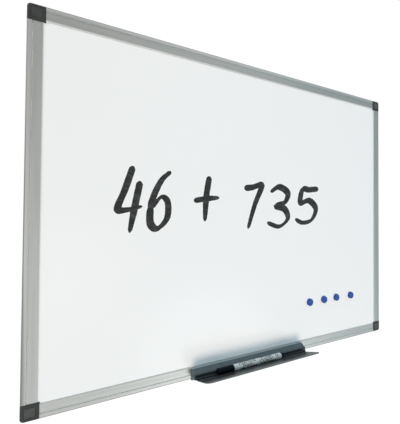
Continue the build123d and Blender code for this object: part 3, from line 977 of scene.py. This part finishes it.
# %% [markdown]
# ## Floor, air and light
# A plain studio: a floor far below, white all round, and soft light. The camera sees the floor and the
# air as white, and the floor keeps a share of the shadow that the board throws on it. Metal mirrors a
# room that is white below and darker towards the ceiling and the far side, so that the lower rail is
# brighter than the top one.
# The sheet is lit by bluish air, mostly from above, and by a warm far lamp in front and a little below.
# Together they give white. Where the tray hides the lamp, only the air is left, so the sheet has a soft
# blue shade above the tray. A weak lamp at the upper left, a bluish window at the far right and a lamp
# behind the board complete the room. Two boxes of light are there for reflections alone, as a
# photographer's reflectors are. A picture of a real room could light the board too, but its parts can't
# be moved one by one, as lamps and the colours of the air can.

# %% Floor
FLOOR_DROP = 1.5
FLOOR_SIZE = 5.0
FLOOR_FRONT = 1.2
SHADOW_SHARE = 0.25
CLOTH_COLOUR = (0.3, 0.3, 0.3, 1.0)
# The glow times its share of the floor is just above 1, so that the floor is seen white.
FLOOR_GLOW = 1.36


def seen_directly(nodes):
    """1 for a ray from the camera, a mirror or clear plastic, and 0 for a ray that carries light."""
    path = nodes.node("ShaderNodeLightPath").outputs
    camera_or_mirror = nodes.combine("MAXIMUM", path["Is Camera Ray"], path["Is Glossy Ray"])
    return nodes.combine("MAXIMUM", camera_or_mirror, path["Is Transmission Ray"])


def make_floor():
    half = FLOOR_SIZE / 2
    ends = ((-half, -FLOOR_FRONT), (half, -FLOOR_FRONT), (half, half), (-half, half))
    verts = [(x, y, -FLOOR_DROP) for x, y in ends]
    material = bpy.data.materials.new("floor_white")
    material.use_nodes = True
    tree = material.node_tree
    tree.nodes.remove(tree.nodes["Principled BSDF"])
    nodes = Nodes(tree)
    cloth = nodes.node("ShaderNodeBsdfDiffuse", {"Color": CLOTH_COLOUR}).outputs[0]
    glow = nodes.node("ShaderNodeEmission", {"Strength": FLOOR_GLOW}).outputs[0]
    share = nodes.combine("MULTIPLY", seen_directly(nodes), 1 - SHADOW_SHARE)
    blend = nodes.node("ShaderNodeMixShader", {0: share, 1: cloth, 2: glow})
    nodes.put(tree.nodes["Material Output"].inputs["Surface"], blend.outputs[0])
    floor = make_piece("floor", verts, [(0, 1, 2, 3)], material, smooth=False)
    floor.visible_shadow = False


make_floor()
print("floor at", -FLOOR_DROP, "m")

# %% Air
AIR_ABOVE, AIR_BELOW = 0.78, 0.15
AIR_COLOUR = (0.70, 0.92, 1.0)
ROOM_BELOW, ROOM_ABOVE = 0.9, 0.43
SIDE_DARKNESS = 0.32
FAR_SIDE_TINT = (0.86, 1.0, 1.07)
WHITE = (1.0, 1.0, 1.0)
# Spans of a direction's Z, X or Y, from -1 to 1, over which the air or the room changes.
CEILING_SPAN, FAR_SIDE_SPAN, FRONT_SPAN = (-0.3, 0.6), (0.66, 0.84), (-0.35, 0.15)
SKY_SPAN, TINT_SPAN = (-0.5, 0.1), (0.0, 0.9)
SOFT = "SMOOTHSTEP"


def make_air():
    world = bpy.data.worlds.new("air")
    bpy.context.scene.world = world
    world.use_nodes = True
    air = Nodes(world.node_tree)
    x, y, z = air.axes(air.node("ShaderNodeTexCoord").outputs["Generated"])
    path = air.node("ShaderNodeLightPath").outputs
    seen = seen_directly(air)
    # What a mirror sees in front of the board: a room that darkens upwards and towards the far side.
    ceiling = air.between(z, ROOM_BELOW, ROOM_ABOVE, *CEILING_SPAN)
    far_side = air.between(x, 1.0, 1 - SIDE_DARKNESS, *FAR_SIDE_SPAN, SOFT)
    room = air.combine("MULTIPLY", ceiling, far_side)
    in_front = air.between(y, 1.0, 0.0, *FRONT_SPAN, SOFT)
    in_mirror = air.combine("MULTIPLY", in_front, path["Is Glossy Ray"])
    shade = air.combine("MULTIPLY", air.between(room, 1.0, 0.0, 0.0, 1.0), in_mirror)
    # What lights the board: air that is brighter above. What is seen directly is white.
    sky = air.between(z, AIR_BELOW, AIR_ABOVE, *SKY_SPAN, SOFT)
    unseen = air.between(seen, 1.0, 0.0, 0.0, 1.0)
    level = air.combine("ADD", air.combine("MULTIPLY", sky, unseen), seen)
    sideways = air.between(x, 0.0, 1.0, *TINT_SPAN, SOFT)
    mirrored = air.mix(sideways, WHITE, FAR_SIDE_TINT)
    shown = air.mix(path["Is Camera Ray"], mirrored, WHITE)
    background = world.node_tree.nodes["Background"].inputs
    air.put(background["Color"], air.mix(seen, AIR_COLOUR, shown))
    air.put(background["Strength"], air.combine("SUBTRACT", level, shade))


make_air()
print("air light from above:", AIR_ABOVE)

# %% Far lamps
# Each far lamp: name, where the light comes from, strength, colour, width of the disc in degrees, and
# whether the board mirrors it.
FAR_LAMPS = [
    ("low_light", (0.0, -1.0, -0.185), 1.72, (1.0, 0.81, 0.71), 19, False),
    ("back_light", (0.5, 1.0, 0.4), 0.9, (1.0, 0.88, 0.80), 60, False),
    ("window_light", (-4.0, -3.0, 3.0), 0.37, (1.0, 0.97, 0.93), 35, True),
]


def place_lamp(name, data, ahead):
    """Puts a lamp in the scene, turned so that it shines `ahead`."""
    lamp = bpy.data.objects.new(name, data)
    lamp.rotation_euler = ahead.to_track_quat("-Z", "Y").to_euler()
    bpy.context.scene.collection.objects.link(lamp)
    return lamp


for name, source, strength, colour, width, mirrors in FAR_LAMPS:
    data = bpy.data.lights.new(name, "SUN")
    data.energy = strength
    data.color = colour
    data.angle = math.radians(width)
    lamp = place_lamp(name, data, -Vector(source))
    lamp.visible_glossy = mirrors
print("far lamps:", len(FAR_LAMPS))

# %% Near lamps
# Each near lamp: name, place, size in metres, power in watts, colour, and whether the board mirrors it. A
# mirrored one throws no light, and the other one is never seen.
NEAR_LAMPS = [
    ("low_box", (0.8, -1.7, -1.4), 1.4, 4.3, WHITE, True),
    ("high_box", (0.6, -1.75, 1.4), 1.8, 1.5, WHITE, True),
    ("blue_window", (1.5, -1.0, 0.1), 0.8, 1.0, (0.1, 0.25, 1.0), False),
]

for name, place, size, power, colour, mirrors in NEAR_LAMPS:
    data = bpy.data.lights.new(name, "AREA")
    data.shape = "DISK"
    data.size = size
    data.energy = power
    data.color = colour
    lamp = place_lamp(name, data, -Vector(place))
    lamp.location = place
    lamp.visible_camera = False
    lamp.visible_diffuse = not mirrors
    lamp.visible_glossy = mirrors
print("near lamps:", len(NEAR_LAMPS))
